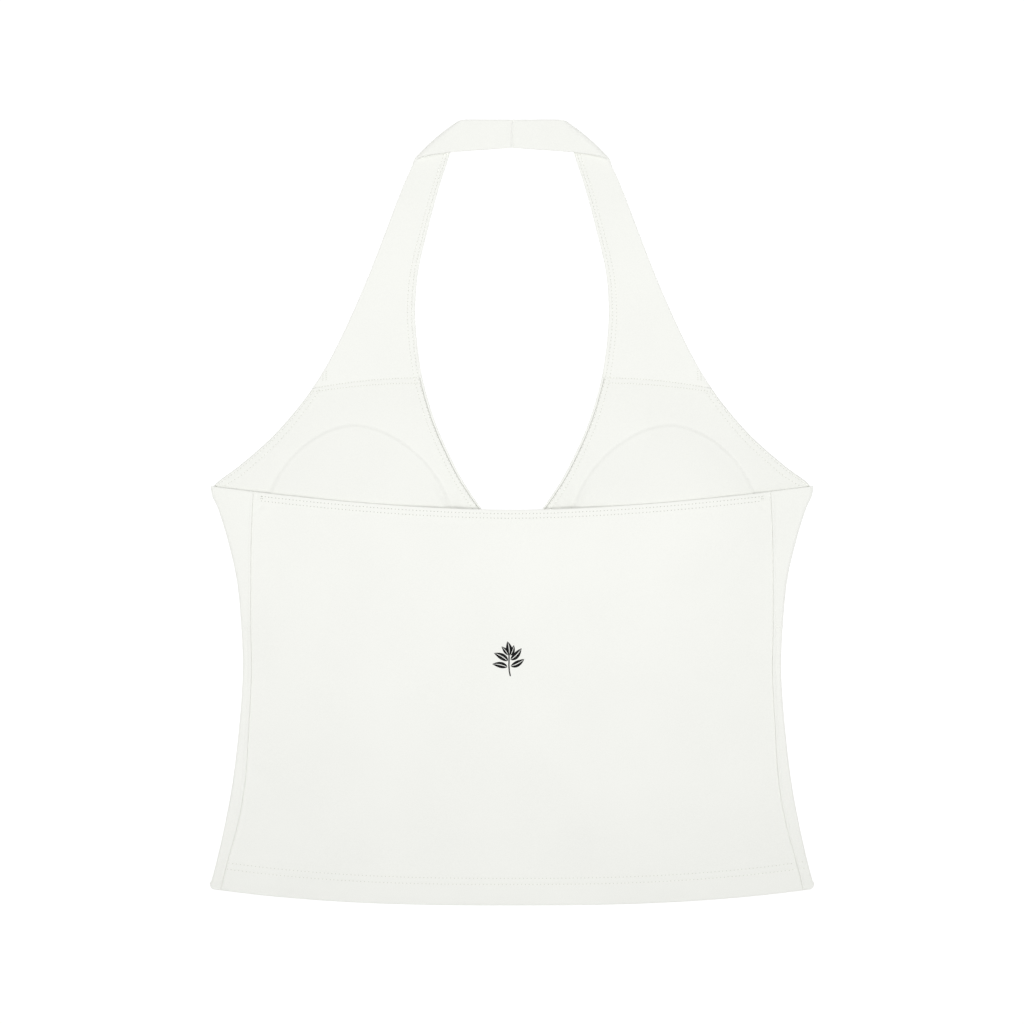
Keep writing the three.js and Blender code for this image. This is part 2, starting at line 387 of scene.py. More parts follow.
KNIT = knit_material("off_white_knit", (0.887, 0.894, 0.853))
LINING_KNIT = knit_material("lining_knit", (0.87, 0.877, 0.836))
FOAM_KNIT = knit_material("pad_cover", (0.85, 0.85, 0.8), wale=0.8, course=0.6)
SEWING = grained_material(
    "sewing_thread", 1800, (0.84, 0.845, 0.8), (0.93, 0.935, 0.89), {"Roughness": 0.6}
)
# Darker cloth for small discs over the needle holes: painted shade of the holes, deeper along the
# back's top edge
PAINTED_HOLE_SHADE = knit_material("needle_holes", (0.66, 0.675, 0.61))
DEEP_PAINTED_HOLE_SHADE = knit_material("deep_needle_holes", (0.5, 0.515, 0.46))
PRINT = grained_material(
    "black_print", 1500, (0.004, 0.004, 0.004), (0.012, 0.012, 0.012),
    {"Roughness": 0.65, "Specular IOR Level": 0.1},
)
FLOOR_SHADER = {
    "Roughness": 0.9,
    "Specular IOR Level": 0.0,
    "Emission Color": (1, 1, 1, 1),
    "Emission Strength": 0.73,
}


# The body: rows from the hem to the underarm

def body_row(side):
    t = (side - HEM.side) / (TOP.side - HEM.side)
    sag = lerp(HEM.sag, TOP.sag, t)
    turn = smoothstep(side, FOLD_RADIUS.start, FOLD_RADIUS.end)
    return Sizes(
        side=side,
        sag=sag,
        bend=lerp(HEM.bend, TOP.bend, t),
        middle=side - sag,
        folded=True,
        fold=smooth(SIDES, side),
        seam=smooth(SIDES, side, 2),
        radius=lerp(FOLD_RADIUS.body, FOLD_RADIUS.underarm, turn),
        from_hem=side - HEM.side,
        from_top=TOP.side - side,
        from_joint=FAR,
    )


def row_height(row, x):
    return row.side - row.sag * (1 - (abs(x) / row.fold) ** row.bend)


# Rows of corners: close together at the hem, by the notch in the side seam and at the top
HEM_BAND = 22
TOP_BAND = 17
NOTCH = Sizes(height=190.4, slope=0.33, depth=0.55, width=0.6)
NOTCH_ROWS = Sizes(step=0.35, below=9, above=5)
BODY_ROWS = Sizes(below_notch=60, above_notch=26)


def body_sides():
    """Heights of the rows at the side fold."""
    reach = range(-NOTCH_ROWS.below, NOTCH_ROWS.above + 1)
    by_notch = [NOTCH.height + NOTCH_ROWS.step * i for i in reach]
    below = between(HEM.side + HEM_BAND, by_notch[0], BODY_ROWS.below_notch)
    above = between(by_notch[-1], TOP.side - TOP_BAND, BODY_ROWS.above_notch)
    low_end = [HEM.side + d for d in stations(HEM_BAND, HEM_ROWS, 1.5)]
    high_end = [TOP.side - d for d in reversed(stations(TOP_BAND, TOP_ROWS, coarse=1.0))]
    return low_end + below + by_notch + above + high_end


BODY = [body_row(side) for side in body_sides()]

TURNING = 0.3
HEM_ROUND = 1.5
TOP_ROUND = 0.9
HEM_DROOP = Sizes(depth=0.45, reach=2.4)
HEM_CORNER = Sizes(radius=3.0, reach=6.0)


def corner_lift(row, x, edge):
    """How far the hem's corner is rounded up by the side fold."""
    radius = HEM_CORNER.radius
    inside = min(max(edge - abs(x), 0.0), radius)
    lift = radius - math.sqrt(radius ** 2 - (radius - inside) ** 2)
    return lift * (1 - smoothstep(row.from_hem, 0, HEM_CORNER.reach))


def stitched_relief(distance, rows):
    """Grooves along a pair of needle rows, with the ridge between them."""
    depth = sum(GROOVE.depth * bell(distance - row, GROOVE.radius) for row in rows)
    middle = sum(rows) / len(rows)
    return GROOVE.ridge * bell(distance - middle, (rows[-1] - rows[0]) * 0.4) - depth


def turning_relief(distance, rows):
    """A turned hem stands a little higher as far as its last row of stitches."""
    return TURNING * (1 - smoothstep(distance, rows[-1] + 0.1, rows[-1] + 1.4))


# Broad waves of cloth smoothed out by hand: depth, length across, length along and start
WAVES = [
    (0.3, 31, 90, 0.7),
    (0.25, 120, 37, 1.9),
    (0.12, 17, -23, 0.0),
]


def drape(x, height):
    return sum(
        depth * math.sin(x / across + height / along + start)
        for depth, across, along, start in WAVES
    )


# Soft creases on the back: middle, direction, length, width and depth
CREASES = [
    (-173.0, 278.5, 74, 7, 1.1, 0.6),
    (-171.5, 270.5, 40, 8, 1.1, 0.6),
    (-168.5, 268.0, 34, 7, 1.4, -0.35),
    (172.8, 278.0, 102, 7, 1.2, 0.6),
    (171.0, 270.0, 142, 8, 1.1, 0.55),
    (168.0, 267.5, 148, 7, 1.4, -0.3),
    (-150, 238, -50, 46, 5.5, 0.6),
    (-160, 222, -62, 34, 4.0, 0.4),
    (152, 240, 52, 42, 5.0, 0.6),
    (158, 216, 66, 30, 4.5, 0.35),
    (-165, 62, 74, 40, 5.0, 0.22),
    (166, 70, -76, 44, 5.0, 0.24),
    (-30, 236, 12, 60, 9.0, 0.2),
    (48, 228, -9, 54, 8.0, 0.18),
]


def creased(x, height, creases=CREASES):
    total = 0.0
    for middle_x, middle_height, angle, length, width, depth in creases:
        dx, dy = x - middle_x, height - middle_height
        lean, rise = math.cos(math.radians(angle)), math.sin(math.radians(angle))
        along = dx * lean + dy * rise
        across = dy * lean - dx * rise
        if abs(along) < length and abs(across) < 3 * width:
            total -= depth * bell(along, length / 2) * bell(across, width)
    return total


def back_base(row, x, height):
    """The back's upper face without its sewing."""
    inside = row.seam - abs(x)
    rise = BACK_LIFT.height * smoothstep(inside, 0, BACK_LIFT.across)
    rise *= smoothstep(height, BACK_LIFT.start, BACK_LIFT.end)
    calm = smoothstep(inside, 0, 25) * smoothstep(row.from_hem, 10, 60)
    calm *= smoothstep(row.from_top, 0, 25)
    return 2 * row.radius + rise + calm * drape(x, height) + creased(x, height)


BACK_COLUMNS = 170
SEAM_ROLL = 12
SEAM_GROOVE = Sizes(depth=0.35, radius=1.0)


def back_columns():
    """Distances along a row as shares of its half-width, with a rounded end at the seams."""
    half = SIDES[0][2]
    ends = [-1 + d / half for d in stations(SEAM_ROLL, (), 0.5, coarse=0.8)]
    middle = between(ends[-1], -ends[-1], BACK_COLUMNS)
    return ends + middle + [-value for value in reversed(ends)]


def back_half(row):
    return row.seam - TOUCH


def back_top(row, x):
    """A point on the back's upper face at a distance from the centre line."""
    height = row_height(row, x)
    top = back_base(row, x, height)
    top += turning_relief(row.from_hem, HEM_ROWS) + turning_relief(row.from_top, TOP_ROWS)
    top += stitched_relief(row.from_hem, HEM_ROWS) + stitched_relief(row.from_top, TOP_ROWS)
    top -= HEM_DROOP.depth * (1 - rounded(row.from_hem, HEM_DROOP.reach))
    from_seam = back_half(row) - abs(x)
    return x, height, top - SEAM_GROOVE.depth * bell(from_seam, SEAM_GROOVE.radius)


def ends_round(row):
    """The share of the wall's thickness left by the rounded hem and top edges."""
    return rounded(row.from_hem, HEM_ROUND) * rounded(row.from_top, TOP_ROUND)


def back_corner(row, across):
    x, height, top = back_top(row, across * back_half(row))
    seam_round = lerp(0.3, 1, rounded(back_half(row) - abs(x), 0.4))
    base = back_base(row, x, height) - WALL
    return pinch(((x, height, top), (x, height, base)), ends_round(row) * seam_round)


def make_back():
    columns = back_columns()
    rows = [[back_corner(row, across) for across in columns] for row in BODY]
    return wall("back_panel", grid(rows), KNIT)


# The front: flat underneath, round the side folds and up over the top to the side seams

# The rolled neckline stands up beside the lining's edge, by its level distance from the neckline
NECK_RIM = Sizes(width=1.6, fade=0.15, height=0.85)

# The face that lies on the surface: grooves of its needle rows and the height of the thread
UNDER = Sizes(groove=0.2, radius=0.5, thread=0.27, joint=(0.9, 3.6))

# Soft dents of that face: middle, direction, length, width and depth
UNDER_CREASES = [
    (96, 150, 78, 90, 9, 0.32),
    (142, 232, 128, 60, 7, 0.34),
    (52, 96, 24, 70, 10, 0.24),
    (104, 318, 118, 44, 6, 0.28),
    (-78, 168, 104, 84, 9, 0.3),
    (-136, 240, 50, 62, 7, 0.34),
    (-110, 70, -16, 58, 8, 0.24),
    (-92, 306, 66, 40, 6, 0.26),
    (-8, 205, 8, 70, 10, 0.22),
]


def bust_run():
    """The length of the bust from the underarm row to the strap seam, along the neck."""
    return STRAP_SEAM.neck - TOUCH - TOP.side + TOP.sag


def bust_shares(count):
    """Shares of the way up the bust, close together by the rows of the strap joint."""
    marks = [1 - d / bust_run() for d in reversed(stations(6, JOINT_ROWS, 0.3))]
    return between(0, marks[0], count) + marks


def bust_row(t):
    side = lerp(TOP.side, STRAP_SEAM.arm - TOUCH, t)
    middle = lerp(TOP.side - TOP.sag, STRAP_SEAM.neck - TOUCH, t)
    return Sizes(
        side=side,
        sag=side - middle,
        bend=lerp(TOP.bend, STRAP_SEAM.bend, t),
        middle=middle,
        folded=False,
        arm=smooth(ARMHOLE, side),
        from_hem=FAR,
        from_joint=(1 - t) * bust_run(),
    )


def sheet_point(row, inner, outer, across):
    return lerp(inner, outer, across), row.side - row.sag * (1 - across ** row.bend)


def shares_across(width, neck, arm, count):
    """Shares of the way across a row; each edge gives its distances and their stretch."""
    start = [d * neck[1] / width for d in neck[0]]
    end = [1 - d * arm[1] / width for d in reversed(arm[0])]
    return start + between(start[-1], end[0], count) + end


FLAT_COLUMNS = 40
ARC_COLUMNS = 10
STRIP_COLUMNS = 12
BUST_ROWS = 40
FRONT_ROUND = Sizes(neck=0.8, arm=0.55)
ARM_EDGE = stations(6, ARM_ROWS, 0.6)
NECK_EDGE = stations(6.3, (1.9, *NECK_ROWS), FRONT_ROUND.neck)

# Relief of the side strip: the rolled seam and the pressed line below the notch
SEAM_RELIEF = Sizes(
    roll=0.4, roll_from_seam=0.9, roll_radius=0.8,
    pressed=0.16, pressed_from_seam=2.9, pressed_radius=0.6,
)


def drawn_in(row, x, height, from_neck, from_arm):
    """How far the face that lies on the surface is drawn in by its sewing and its dents."""
    seams = (
        (from_neck, NECK_ROWS),
        (from_arm, ARM_ROWS),
        (row.from_hem, HEM_ROWS),
        (row.from_joint, UNDER.joint),
    )
    groove = sum(bell(far - place, UNDER.radius) for far, places in seams for place in places)
    return UNDER.groove * min(groove, 1) - creased(x, height, UNDER_CREASES)


def front_frame(row):
    """Where the flat part of a row starts and ends, with the stretch at its two edges."""
    neck = smooth(NECKLINE, row.middle)
    return Sizes(
        inner=neck,
        outer=row.fold - row.radius if row.folded else row.arm,
        open=neck > 0,
        neck_stretch=edge_stretch(NECKLINE, row.middle) if neck > 0 else 1.0,
        arm_stretch=1.0 if row.folded else edge_stretch(ARMHOLE, row.side),
    )


def front_flat(row, place, sign):
    """Corners of the part that lies on the surface, from the centre or the neckline outwards."""
    width = place.outer - place.inner
    neck, arm = (NECK_EDGE, place.neck_stretch), (ARM_EDGE, place.arm_stretch)
    corners = []
    for across in shares_across(width, neck, arm, FLAT_COLUMNS):
        x, height = sheet_point(row, place.inner, place.outer, across)
        if row.folded:
            height += corner_lift(row, x, row.fold)
        level = across * width if place.open else FAR
        from_neck = level / place.neck_stretch
        from_arm = FAR if row.folded else (1 - across) * width / place.arm_stretch
        from_fold = (1 - across) * width if row.folded else FAR
        rim = 1 - smoothstep(level, NECK_RIM.width, NECK_RIM.width + NECK_RIM.fade)
        top = WALL + rim * NECK_RIM.height
        under = drawn_in(row, sign * x, height, from_neck, from_arm) * smoothstep(from_fold, 0, 6)
        share = rounded(from_neck, FRONT_ROUND.neck) * rounded(from_arm, FRONT_ROUND.arm)
        corners.append(pinch(((x, height, under), (x, height, top)), share))
    return corners


def folded_point(row, angle, radius, x, extra=0.0):
    """A point on the side fold at an angle, or past it on the strip at half a turn."""
    height = row_height(row, x) + corner_lift(row, x, row.fold)
    return (x, height, row.radius - radius * math.cos(angle) + extra)


def front_fold(row, edge):
    """Corners round the side fold."""
    turned = turning_relief(row.from_hem, HEM_ROWS)
    sewn = stitched_relief(row.from_hem, HEM_ROWS)
    corners = []
    for t in steps(ARC_COLUMNS)[1:]:
        angle = math.pi * t
        outside = row.radius + turned * smoothstep(t, 0.3, 1)
        inside = row.radius - WALL
        groove = sewn * smoothstep(t, 0.4, 1)
        outer = folded_point(row, angle, outside, edge + outside * math.sin(angle), groove)
        inner = folded_point(row, angle, inside, edge + inside * math.sin(angle))
        corners.append(pinch((outer, inner), ends_round(row)))
    return corners


def strip_relief(row, x, height, sign, from_fold, from_seam):
    """How far the side strip's upper face stands out at a point."""
    relief = turning_relief(row.from_hem, HEM_ROWS) + stitched_relief(row.from_hem, HEM_ROWS)
    seam = SEAM_RELIEF
    relief += seam.roll * bell(from_seam - seam.roll_from_seam, seam.roll_radius)
    calm = smoothstep(from_fold, 0, 6) * smoothstep(from_seam, 0, 6)
    relief += calm * (drape(sign * x, height) + creased(sign * x, height))
    from_notch = height - NOTCH.height + NOTCH.slope * (x - row.seam)
    open_strip = smoothstep(from_seam, 0.1, 0.7) * smoothstep(from_fold, 0, 1.5)
    relief -= open_strip * NOTCH.depth * bell(from_notch, NOTCH.width)
    pressed = seam.pressed * smoothstep(row.from_hem, 16, 30)
    pressed *= 1 - smoothstep(row.side, NOTCH.height - 2, NOTCH.height)
    return relief - pressed * bell(from_seam - seam.pressed_from_seam, seam.pressed_radius)


def front_strip(row, edge, sign):
    """Corners of the strip on the upper side, from the fold to the side seam."""
    strip = edge - row.seam
    ends = [1 - d / strip for d in reversed(stations(2.4, (), 0.3, coarse=0.5))]
    corners = []
    for t in between(0, ends[0], STRIP_COLUMNS) + ends:
        x = lerp(edge, row.seam, t)
        from_fold, from_seam = t * strip, (1 - t) * strip
        extra = strip_relief(row, x, row_height(row, x), sign, from_fold, from_seam)
        outer = folded_point(row, math.pi, row.radius, x, extra)
        inner = folded_point(row, math.pi, row.radius - WALL, x)
        seam_round = lerp(0.7, 1, rounded(from_seam, 0.3))
        corners.append(pinch((outer, inner), ends_round(row) * seam_round))
    return corners


def front_row(row, sign):
    """One row of corners of the front's half on the side that the sign gives."""
    place = front_frame(row)
    corners = front_flat(row, place, sign)
    if row.folded:
        corners += front_fold(row, place.outer) + front_strip(row, place.outer, sign)
    return corners


def make_front():
    rows = BODY + [bust_row(t) for t in bust_shares(BUST_ROWS)]
    right = grid([front_row(row, 1) for row in rows])
    left = grid([front_row(row, -1) for row in rows])
    return wall("front_panel", right + mirrored(left), KNIT)


# Soft pads and the lining over them

PAD_RINGS = 16
PAD_SECTORS = 96


def pad_share(x, height):
    up = height - PAD.height
    rise = up / (PAD.up if up > 0 else PAD.down)
    side = (x - PAD.x - PAD.lean * rise) / PAD.half
    return (abs(side) ** PAD.power + abs(rise) ** PAD.power) ** (1 / PAD.power)


def pad_thickness(out):
    return lerp(PAD.middle, PAD.edge, min(out, 1.0) ** 3)


def make_pad(name, flip):
    power = 2 / PAD.power

    def corner(out, angle):
        side = out * math.copysign(abs(math.cos(angle)) ** power, math.cos(angle))
        rise = out * math.copysign(abs(math.sin(angle)) ** power, math.sin(angle))
        x = PAD.x + PAD.half * side + PAD.lean * rise
        height = PAD.height + rise * (PAD.up if rise > 0 else PAD.down)
        base = WALL + GAP
        thickness = pad_thickness(out) * rounded((1 - out) * PAD.half + 0.02, 0.5)
        return (x, height, base + thickness), (x, height, base)

    rings = [math.sqrt(t) for t in steps(PAD_RINGS)]
    rings[-1:] = [0.995, 1.0]
    rows = [[corner(out, math.tau * t) for t in steps(PAD_SECTORS)] for out in rings]
    return half_wall(name, rows, flip, FOAM_KNIT)


# Past the pad's rim the lining comes down a short shoulder and sinks a little
PAD_SHOULDER = 1.25
PAD_SINK = Sizes(depth=0.22, past=2.5, radius=5)

# Soft dents and creases of the lining: middle, direction, length, width and depth
LINING_CREASES = [
    (41, 272, 66, 30, 4.0, 0.6),
    (49.5, 275, 66, 26, 2.4, -0.6),
    (60, 268, 60, 24, 4.0, 0.25),
    (66, 305, 118, 44, 6.0, 0.3),
    (74, 322, 128, 30, 3.2, 0.22),
    (152, 298, 140, 44, 6.0, 0.55),
    (138, 322, 150, 30, 4.0, 0.3),
    (96, 340, 8, 34, 8.0, 0.3),
    (68, 349, 100, 11, 2.4, 0.16),
    (76, 351, 84, 9, 2.2, 0.12),
    (120, 346, 40, 16, 4.0, 0.14),
]


def lining_lift(x, height):
    out = pad_share(x, height)
    if out <= 1:
        return pad_thickness(out) + GAP
    past = (out - 1) * PAD.half
    sunk = PAD_SINK.depth * smoothstep(past, 0.5, PAD_SINK.past)
    sunk *= bell(past - PAD_SINK.past, PAD_SINK.radius)
    return (PAD.edge + GAP) * bell(past, PAD_SHOULDER) - sunk


LINING_COLUMNS = 130
LINING_ROWS = Sizes(hidden=14, near=26, near_from=262, bust=110)
LINING_ROUND = 0.5
LINING_NECK = [row - LINING.neck_turn for row in NECK_ROWS]
LINING_ARM = [row - LINING.arm_turn for row in ARM_ROWS]
LINING_EDGES = [stations(6, rows, LINING_ROUND) for rows in (LINING_NECK, LINING_ARM)]


def lining_frame(row):
    """Where a row of the lining starts and ends, on the front's row below it."""
    place = front_frame(row)
    place.inner = place.inner + LINING.neck_turn if place.open else TOUCH
    place.outer = row.fold - LINING.side_turn if row.folded else row.arm - LINING.arm_turn
    return place


def lining_top(row, place, across):
    """A point on the lining's upper face, and its distances from the neck and the arm."""
    width = place.outer - place.inner
    x, height = sheet_point(row, place.inner, place.outer, across)
    from_neck = across * width / place.neck_stretch
    from_arm = (1 - across) * width / place.arm_stretch
    away = smoothstep(from_neck, 3, 9) * smoothstep(from_arm, 4, 12)
    top = WALL + GAP + lining_lift(x, height) + LINING_WALL
    top += away * creased(x, height, LINING_CREASES)
    if place.open:
        top += stitched_relief(from_neck, LINING_NECK)
    if not row.folded:
        top += stitched_relief(from_arm, LINING_ARM)
        top += stitched_relief(row.from_joint, JOINT_ROWS)
    return (x, height, top), from_neck, from_arm


def lining_row(row):
    place = lining_frame(row)
    neck, arm = zip(LINING_EDGES, (place.neck_stretch, place.arm_stretch))
    corners = []
    for across in shares_across(place.outer - place.inner, neck, arm, LINING_COLUMNS):
        top, from_neck, from_arm = lining_top(row, place, across)
        x, height, _ = top
        base = WALL + GAP + lining_lift(x, height)
        share = rounded(from_neck, LINING_ROUND) * rounded(from_arm, LINING_ROUND)
        corners.append(pinch((top, (x, height, base)), share))
    return corners


def make_lining(name, flip):
    near_from = LINING_ROWS.near_from
    hidden = [lerp(LINING.bottom, near_from, t) for t in steps(LINING_ROWS.hidden)]
    near = [lerp(near_from, TOP.side, t) for t in steps(LINING_ROWS.near)[1:]]
    rows = [body_row(side) for side in hidden + near]
    rows += [bust_row(t) for t in bust_shares(LINING_ROWS.bust)]
    return half_wall(name, [lining_row(row) for row in rows], flip, LINING_KNIT)


# Straps: flat, over the shoulder fold and along the neck band

# Directions along the shoulder fold and past it
fold_run = [a - b for a, b in zip(SHOULDER.neck, SHOULDER.arm)]
ALONG = [value / math.hypot(*fold_run) for value in fold_run]
PAST = [ALONG[1], -ALONG[0]]


def settled(x, height):
    (low, low_half), (high, high_half) = NECKLINE[-2:]
    edge = lerp(low_half, high_half, (height - low) / (high - low))
    drop = 2 * SHOULDER.radius - STRAP_WALL
    return drop * smoothstep(edge - x, BAND_SETTLES.start, BAND_SETTLES.end)


# Soft creases of the strap: middle, direction, length, width and depth
STRAP_CREASES = [
    (73, 490, 62, 22, 5.0, 1.1),
    (66, 499, 40, 12, 3.0, 0.35),
    (64, 368, 100, 14, 2.2, 0.3),
    (71, 370, 84, 12, 2.6, 0.25),
    (86, 366, 70, 14, 3.4, 0.2),
]


def strap_wave(x, height):
    """Long soft folds that lean along the strap, with the creases at its two ends."""
    lean = x + 0.45 * (height - 430)
    away = smoothstep(height, 360, 395) * (1 - smoothstep(height, 470, 500))
    wave = away * (0.3 * math.sin(lean / 7.5 + 0.6) + 0.2 * math.sin(height / 21 - x / 40))
    return wave + smoothstep(height, 359, 362) * creased(x, height, STRAP_CREASES)


STRAP_COLUMNS = 20
STRAP_ROWS = Sizes(flat=100, fold=24)
STRAP_ROUND = 1.1
STRAP_NECK = stations(6.6, NECK_ROWS, STRAP_ROUND)
STRAP_ARM = stations(3, (), STRAP_ROUND)
STRAP_RIM = Sizes(width=1.9, fade=0.5, depth=0.4)
FOLD_STRETCH = 1.2

# The band's length: for its rows of corners, and to its rounded end
BAND_RUN = Sizes(rows=60, end=50)


def strap_point(foot, turn, reach, crown):
    """A point over a foot on the flat strap, turned about the fold by a share of half a turn."""
    angle = math.pi * turn
    out = (reach + crown) * math.sin(angle)
    return (
        foot[0] + PAST[0] * out,
        foot[1] + PAST[1] * out,
        SHOULDER.radius - reach * math.cos(angle) - turn * settled(*foot),
    )


def strap_foot(neck, arm, across, bend):
    return lerp(neck[0], arm[0], across), lerp(neck[1], arm[1], across ** bend)


def strap_section(neck, arm, turn, bend=1.0, end=FAR, stretch=1.0):
    """Corners across the strap from its neck edge to its arm edge."""
    width = math.dist(neck, arm)
    corners = []
    for across in shares_across(width, (STRAP_NECK, stretch), (STRAP_ARM, 1), STRAP_COLUMNS):
        foot = strap_foot(neck, arm, across, bend)
        from_neck = across * width / stretch
        from_arm = (1 - across) * width
        sewn = (1 - turn) * (stitched_relief(from_neck, NECK_ROWS) + strap_wave(*foot))
        rim = 1 - smoothstep(from_neck, STRAP_RIM.width, STRAP_RIM.width + STRAP_RIM.fade)
        rim *= (1 - turn) * STRAP_RIM.depth
        groove = sum(bell(from_neck - place, UNDER.radius) for place in NECK_ROWS)
        outer = SHOULDER.radius - (1 - turn) * UNDER.groove * groove
        inner = SHOULDER.radius - STRAP_WALL - (sewn - rim)
        crown = SHOULDER.crown * math.sin(math.pi * across)
        share = math.prod(rounded(d, STRAP_ROUND) for d in (from_neck, from_arm, end))
        faces = (strap_point(foot, turn, reach, crown) for reach in (outer, inner))
        corners.append(pinch(tuple(faces), share))
    return corners


def quadratic(points, t):
    """A point on the parabola through three points at 0, one half and 1."""
    a, b, c = points
    return tuple(
        p * (1 - t) * (1 - 2 * t) + q * 4 * t * (1 - t) + r * t * (2 * t - 1)
        for p, q, r in zip(a, b, c)
    )


def strap_sides(t):
    """The strap's edge points at a share of the way up, with its bend and its stretch."""
    neck_height = lerp(STRAP_SEAM.neck, SHOULDER.neck[1], t)
    arm_height = lerp(STRAP_SEAM.arm, SHOULDER.arm[1], t)
    neck = (smooth(NECKLINE, neck_height), neck_height)
    arm = (smooth(ARMHOLE, arm_height), arm_height)
    slant = math.atan2(neck[1] - arm[1], arm[0] - neck[0])
    return neck, arm, lerp(STRAP_SEAM.bend, 1, t), 1 / max(math.cos(slant - 0.1), 0.4)


def slid(point, t):
    """A point of the shoulder fold, moved along the fold as the strap turns over."""
    return tuple(value + ALONG[i] * SHOULDER.slide * t for i, value in enumerate(point))


def make_strap(name, flip):
    sections = []
    for t in steps(STRAP_ROWS.flat):
        neck, arm, bend, stretch = strap_sides(t)
        sections.append(strap_section(neck, arm, 0, bend, stretch=stretch))
    for t in steps(STRAP_ROWS.fold)[1:]:
        neck, arm = slid(SHOULDER.neck, t), slid(SHOULDER.arm, t)
        sections.append(strap_section(neck, arm, t, stretch=lerp(stretch, FOLD_STRETCH, t)))
    top = [slid(SHOULDER.neck, 1), *BAND_TOP]
    bottom = [slid(SHOULDER.arm, 1), *BAND_BOTTOM]
    run = BAND_RUN.rows
    for t in [1 - d / run for d in reversed(stations(run, (), 0.9, 0.25, 0.8))][1:]:
        neck, arm = quadratic(top, t), quadratic(bottom, t)
        end, along = (1 - t) * BAND_RUN.end, lerp(FOLD_STRETCH, 1.0, t)
        sections.append(strap_section(neck, arm, 1, end=end, stretch=along))
    return half_wall(name, sections, flip, KNIT)


def cloth(piece, node):
    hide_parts(node)
    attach(piece, "root")


front = make_front()
cloth(front, "front")
for side in ("left", "right"):
    flip = side == "left"
    pad = make_pad(f"soft_pad_{side}", flip)
    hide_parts(f"pad_{side}")
    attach(pad, "root")
    lining = make_lining(f"lining_shell_{side}", flip)
    cloth(lining, f"lining_{side}")
    cloth(make_strap(f"strap_shell_{side}", flip), f"strap_{side}")
back = make_back()
cloth(back, "back")


# Sewing: thread on the upper face of the cloth, and small dark discs where the needle went in that
# paint the shade of its holes

def uneven(number, seed):
    """A steady pseudo-random value from -1 to 1."""
    return math.sin(number * 12.9898 + seed * 78.233) * math.cos(number * 4.1414 + seed)


def spaced(path, pitch, seed):
    """Points along a path at a sewn, slightly uneven pitch."""
    lengths = [math.dist(a, b) for a, b in zip(path, path[1:])]
    total = sum(lengths)
    count = max(round(total / pitch), 1)
    points = []
    i = 0
    passed = 0.0
    for n in range(count + 1):
        target = min(max((n + 0.06 * uneven(n, seed)) / count, 0.0), 1.0) * total
        while i < len(lengths) - 1 and passed + lengths[i] < target:
            passed += lengths[i]
            i += 1
        t = min(max((target - passed) / lengths[i], 0.0), 1.0)
        points.append(Vector(path[i]).lerp(Vector(path[i + 1]), t))
    return points


THREAD = Sizes(radius=0.15, share=0.66, flat=1.15, drift=0.07, sides=6)
# Size of the dark disc that paints the shade of one needle hole
HOLE_SHADE_DISC = Sizes(radius=0.27, stretch=1.25, sides=10)

# Rings of one stitch: place along it, share of the radius and rise over the cloth
THREAD_RINGS = [
    (0, 0.35, -0.1),
    (0.12, 0.85, 0.02),
    (0.5, 1, 0.1),
    (0.88, 0.85, 0.02),
    (1, 0.35, -0.1),
]

# Rings of the dark disc at one needle hole, painted shade of the hole: share of the radius and
# rise over the cloth
HOLE_SHADE_RINGS = [(1.0, -0.12), (1.0, 0.05), (0.7, 0.09)]


def add_tube(target, rings, sides, place):
    """Adds a closed tube of rings, with each point from its ring's numbers and its angle."""
    points, faces = target
    first = len(points)
    for ring in rings:
        points += [placed(place(*ring, math.tau * k / sides)) for k in range(sides)]
    last = len(points) - sides
    for start in range(first, last, sides):
        for k in range(sides):
            a, b = start + k, start + (k + 1) % sides
            faces.append((a, a + sides, b + sides, b))
    faces.append(tuple(range(first, first + sides)))
    faces.append(tuple(reversed(range(last, last + sides))))


class Sewing:
    """Collects the thread of one seam and the dark discs that paint the shade of its needle holes.
    """

    def __init__(self, name, pitch, hole_shade_material=PAINTED_HOLE_SHADE, face=1):
        self.name = name
        self.hole_shade_material = hole_shade_material
        self.outward = Vector((0, 0, face))
        self.pitch = pitch
        self.thread = ([], [])
        self.holes = ([], [])
        self.rows = 0

    def run(self, path):
        self.rows += 1
        points = spaced(path, self.pitch, self.rows + len(self.name))
        for n, (start, end) in enumerate(zip(points, points[1:])):
            along = (end - start).normalized()
            side = along.cross(self.outward).normalized()
            up = side.cross(along)
            drift = side * THREAD.drift * uneven(n, self.rows)
            self.add_thread(start + drift, end + drift, side, up)
            self.add_hole_shade(start + drift, along, side, up)

    def add_thread(self, start, end, side, up):
        def place(t, size, rise, angle):
            centre = start.lerp(end, 0.5 + (t - 0.5) * THREAD.share) + up * rise
            offset = side * math.cos(angle) * THREAD.flat + up * math.sin(angle)
            return centre + offset * THREAD.radius * size

        add_tube(self.thread, THREAD_RINGS, THREAD.sides, place)

    def add_hole_shade(self, centre, along, side, up):
        def place(size, rise, angle):
            offset = along * math.cos(angle) * HOLE_SHADE_DISC.stretch + side * math.sin(angle)
            return centre + offset * HOLE_SHADE_DISC.radius * size + up * rise

        add_tube(self.holes, HOLE_SHADE_RINGS, HOLE_SHADE_DISC.sides, place)

    def finish(self):
        parts = (("thread", self.thread, SEWING), ("holes", self.holes, self.hole_shade_material))
        for kind, (points, faces), material in parts:
            piece = mesh_object(f"{self.name}_{kind}", points, faces, material)
            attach(piece, "root")


def both_sides(sewing, path):
    sewing.run(path)
    sewing.run([(-x, height, z) for x, height, z in path])


def on_row(row, x, top):
    return x, row_height(row, x), top


def sew_pairs(name, kind, paths, face=1):
    """One seam of paths on the right half, each with its mirror image on the left."""
    sewing = Sewing(name, STITCH[kind], face=face)
    for path in paths:
        both_sides(sewing, path)
    sewing.finish()


# How many points a path has over the hem, the strip beside it, the top, the bust and others
PATH = Sizes(hem=220, strip=8, top=200, bust=70, strap=90, joint=30, closed=6)


